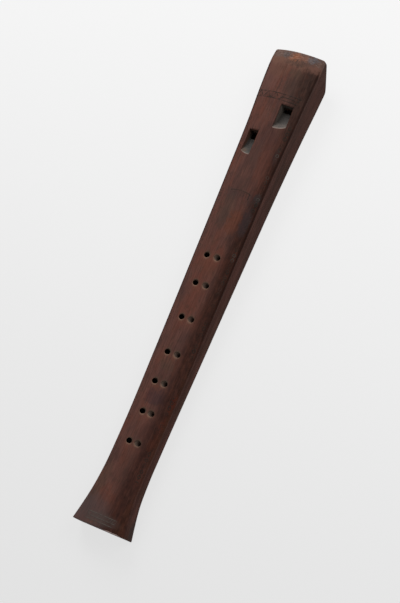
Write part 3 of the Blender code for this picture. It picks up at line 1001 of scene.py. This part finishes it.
def window_wood():
    """Knife-cut wood of the windows: brown walls painted paler deeper down as painted light, and pale grey
    ramps with a painted highlight along their top edge and painted shade deeper down.
    """
    paint = Paint("window_wood", Specular_IOR_Level=0.15)
    fibres, streaks, pores = grain_of(paint)
    stain = paint.noise(300.0)
    below, leftward = paint.mask("below"), 0.0 - paint.mask("across")
    deep = below + (stain - 0.5) * 0.003
    normal = paint.add("ShaderNodeNewGeometry", out="Normal")
    upward = paint.add("ShaderNodeSeparateXYZ", values=(normal,), out="Z")
    short_side = leftward.above(0.0, 0.002)
    ramp = paint.mixed(rgb(93, 85, 80), rgb(114, 104, 98), fibres.above(0.3, 0.7))
    ramp = paint.layered(ramp, (
        ((86, 86, 83), stain.above(0.5, 0.66) * 0.6),
        ((80, 79, 74), short_side * 0.7),
    ))
    # A painted highlight along the ramp's top edge
    ramp = paint.mixed(rgb(136, 118, 110), ramp, below.above(0.0001, 0.0009))
    # Painted shade: the ramps darker deeper down
    ramp = paint.layered(ramp, (
        ((66, 62, 59), deep.above(0.0002, 0.0044)),
        ((54, 52, 49), deep.above(0.0050, 0.0085)),
        ((96, 76, 62), leftward.above(0.0098, 0.0125) * (1.0 - deep.above(0.0010, 0.0035)) * 0.7),
    ))
    # Painted light: the walls paler deeper down
    wall = paint.mixed(rgb(66, 48, 42), rgb(88, 80, 74), deep.above(0.0002, 0.0030))
    wall = paint.mixed(wall, rgb(88, 60, 48), short_side * (1.0 - deep.above(0.0035, 0.0070)) * 0.85)
    colour = paint.mixed(wall, ramp, upward.above(0.35, 0.7))
    colour = paint.mixed(colour, rgb(36, 28, 25), pores * 0.4)
    relief = fibres + streaks + stain - pores * 0.5
    return paint.wood(colour, 0.6 + (stain - 0.5) * 0.3, relief, 0.00012, 0.8)


def inside_wood():
    """Dark, dull wood inside the bores and the holes, painted paler near the rims as painted light."""
    paint = Paint("inside_wood", Specular_IOR_Level=0.2)
    fibres, _, pores = grain_of(paint)
    colour = paint.mixed(rgb(38, 25, 21), rgb(58, 40, 33), fibres.above(0.3, 0.7))
    # Painted light: paler near the rims
    colour = paint.mixed(rgb(104, 88, 78), colour, paint.mask("below").above(0.0008, 0.0048))
    colour = paint.mixed(colour, rgb(24, 16, 14), pores * 0.6)
    return paint.wood(colour, 0.72 + pores * 0.2, fibres - pores, 0.00008, 0.8)


def block_wood():
    """Dull, unvarnished wood of the plugs."""
    paint = Paint("block_wood", Specular_IOR_Level=0.15)
    fibres, streaks, pores = grain_of(paint)
    stain = paint.noise(120.0)
    colour = paint.mixed(rgb(66, 46, 38), rgb(96, 70, 58), fibres.above(0.3, 0.7))
    colour = paint.mixed(colour, rgb(56, 40, 34), stain.above(0.45, 0.7) * 0.6)
    colour = paint.mixed(colour, rgb(38, 27, 23), pores * 0.6)
    return paint.wood(colour, 0.62 + (stain - 0.5) * 0.2, fibres + streaks * 0.6 - pores, 0.00009, 0.8)


def make_body(outer, window, inside):
    """The carved body, cut, marked with its wear and its painted shade and highlights, and set in the frame.
    """
    body = plain_body(outer)
    split_where_carved(body)
    carve(body)
    cutters = []
    for pipe in PIPES:
        cutters += [bore_cutter(pipe, inside), windway_cutter(pipe, inside)]
        cutters += [window_cutter(pipe, window), window_rim_cutter(pipe, outer)]
    for from_back, rows in ((False, HOLE_ROWS), (True, (THUMB_ROW,))):
        for place, left, right in rows:
            for pipe, offset in ((LONG_PIPE, right), (SHORT_PIPE, left)):
                name = f"hole_{len(cutters)}"
                cutters.append(hole_cutter(name, pipe, place, offset, from_back, inside, outer))
    cut_all(body, cutters)
    mark_wear_and_painted_light(body)
    body.data.set_sharp_from_angle(angle=SHARP_ANGLE)
    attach(body, "flute_body")
    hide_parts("body")


def ease_edges(block):
    """Takes the sharpness off the plug's edges."""
    shape = bmesh.new()
    shape.from_mesh(block.data)
    bmesh.ops.remove_doubles(shape, verts=shape.verts, dist=MERGE_DISTANCE)
    bmesh.ops.dissolve_limit(shape, angle_limit=math.radians(1), verts=shape.verts, edges=shape.edges)
    sharp = [edge for edge in shape.edges if edge.is_manifold and edge.calc_face_angle() > math.radians(30)]
    bmesh.ops.bevel(
        shape, geom=sharp, offset=EASED_EDGE, segments=2, profile=0.5, affect="EDGES", clamp_overlap=True
    )
    shape.to_mesh(block.data)
    shape.free()


def make_block(pipe, body_name, material):
    """The plug that leaves only the windway open, with its edges eased."""
    window = pipe["window"]
    rings = []
    for place in (window, -OVERCUT):
        radius = bore_radius(pipe, place) - BLOCK_CLEARANCE
        rings.append(circle(Vector((0, -place, 0)), radius, BLOCK_SIDES))
    block = loft(pipe["name"] + "_plug", rings, material, pipe_frame(pipe))
    floor = windway_floor(pipe)
    far = 2 * OVERCUT
    flat = ((-window - far, floor), (far, floor), (far, floor + far), (-window - far, floor + far))
    slope = TIP_EDGE_HEIGHT / BEAK_LENGTH
    beak = (
        (along(BEAK_LENGTH) - OVERCUT / slope, -OVERCUT),
        (along(0) + OVERCUT, -OVERCUT),
        (along(0) + OVERCUT, TIP_EDGE_HEIGHT + OVERCUT * slope),
    )
    past = ((along(0), -far), (along(-far), -far), (along(-far), 2 * far), (along(0), 2 * far))
    cutters = (
        extruded("flat_cut", flat, far, material, pipe_frame(pipe)),
        extruded("beak_cut", beak, 2 * far, material, Matrix()),
        extruded("past_cut", past, 2 * far, material, Matrix()),
    )
    cut_all(block, cutters)
    ease_edges(block)
    block.data.set_sharp_from_angle(angle=SHARP_ANGLE)
    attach(block, body_name)
    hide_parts(pipe["name"] + "_block")


def make_floor():
    """Pale paper, lit from behind as a light table is, so that shadows on it stay faint; its glow is painted
    brighter beyond the head and dimmer towards the foot, as light falls off.
    """
    paint = Paint("floor_paper", Roughness=0.9, Specular_IOR_Level=0.1, Emission_Strength=1.0)
    from_tip = LENGTH / 2 - paint.axis("Y")
    # Painted falloff of the light towards the foot
    dim = from_tip.above(-0.3, 0.7)
    glow = paint.mixed((0.84, 0.84, 0.84, 1.0), (0.655, 0.655, 0.655, 1.0), dim)
    material = paint.finish(Base_Color=rgb(96, 96, 96), Emission_Color=glow)
    reach, under = 6.0, -0.00005
    corners = [(-reach, -reach, under), (reach, -reach, under), (reach, reach, under), (-reach, reach, under)]
    mesh_object("floor", corners, [(0, 1, 2, 3)], material)


def area_light(name, place, power):
    """A round soft light, aimed at the upper half of the flute."""
    light = bpy.data.lights.new(name, "AREA")
    light.shape = "DISK"
    light.size = 0.9
    light.energy = power
    obj = bpy.data.objects.new(name, light)
    obj.location = place
    obj.rotation_euler = (Vector((0, 0.02, 0)) - Vector(place)).to_track_quat("-Z", "Y").to_euler()
    bpy.context.scene.collection.objects.link(obj)


def make_light():
    """Two large soft lights beyond the head, the stronger one on the left, and an even light all round."""
    world = bpy.data.worlds.new("studio")
    world.use_nodes = True
    background = world.node_tree.nodes["Background"]
    background.inputs["Color"].default_value = (1.0, 1.0, 1.0, 1.0)
    background.inputs["Strength"].default_value = 0.35
    bpy.context.scene.world = world
    area_light("left_softbox", (-0.65, 1.05, 0.95), 12.5)
    area_light("right_softbox", (0.90, 0.75, 1.10), 6.5)


def make_camera():
    """The photograph's view: from above, turned to the flute's right side and a little towards its foot."""
    data = bpy.data.cameras.new("camera")
    data.lens = 97.9
    data.sensor_width = 36.0
    data.clip_start = 0.01
    camera = bpy.data.objects.new("camera", data)
    right = Vector((0.84795, 0.39715, -0.35108))
    up = Vector((-0.28923, 0.90168, 0.32144))
    back = Vector((0.44422, -0.17102, 0.87944))
    placed = Matrix((right, up, back)).transposed().to_4x4()
    placed.translation = Vector((0.55133, -0.22287, 1.10330))
    camera.matrix_world = placed
    bpy.context.scene.collection.objects.link(camera)
    bpy.context.scene.camera = camera
    bpy.context.scene.view_settings.view_transform = "Standard"


make_camera()
make_light()
make_floor()
make_body(body_wood(), window_wood(), inside_wood())
plugs = block_wood()
make_block(LONG_PIPE, "long_block", plugs)
make_block(SHORT_PIPE, "short_block", plugs)
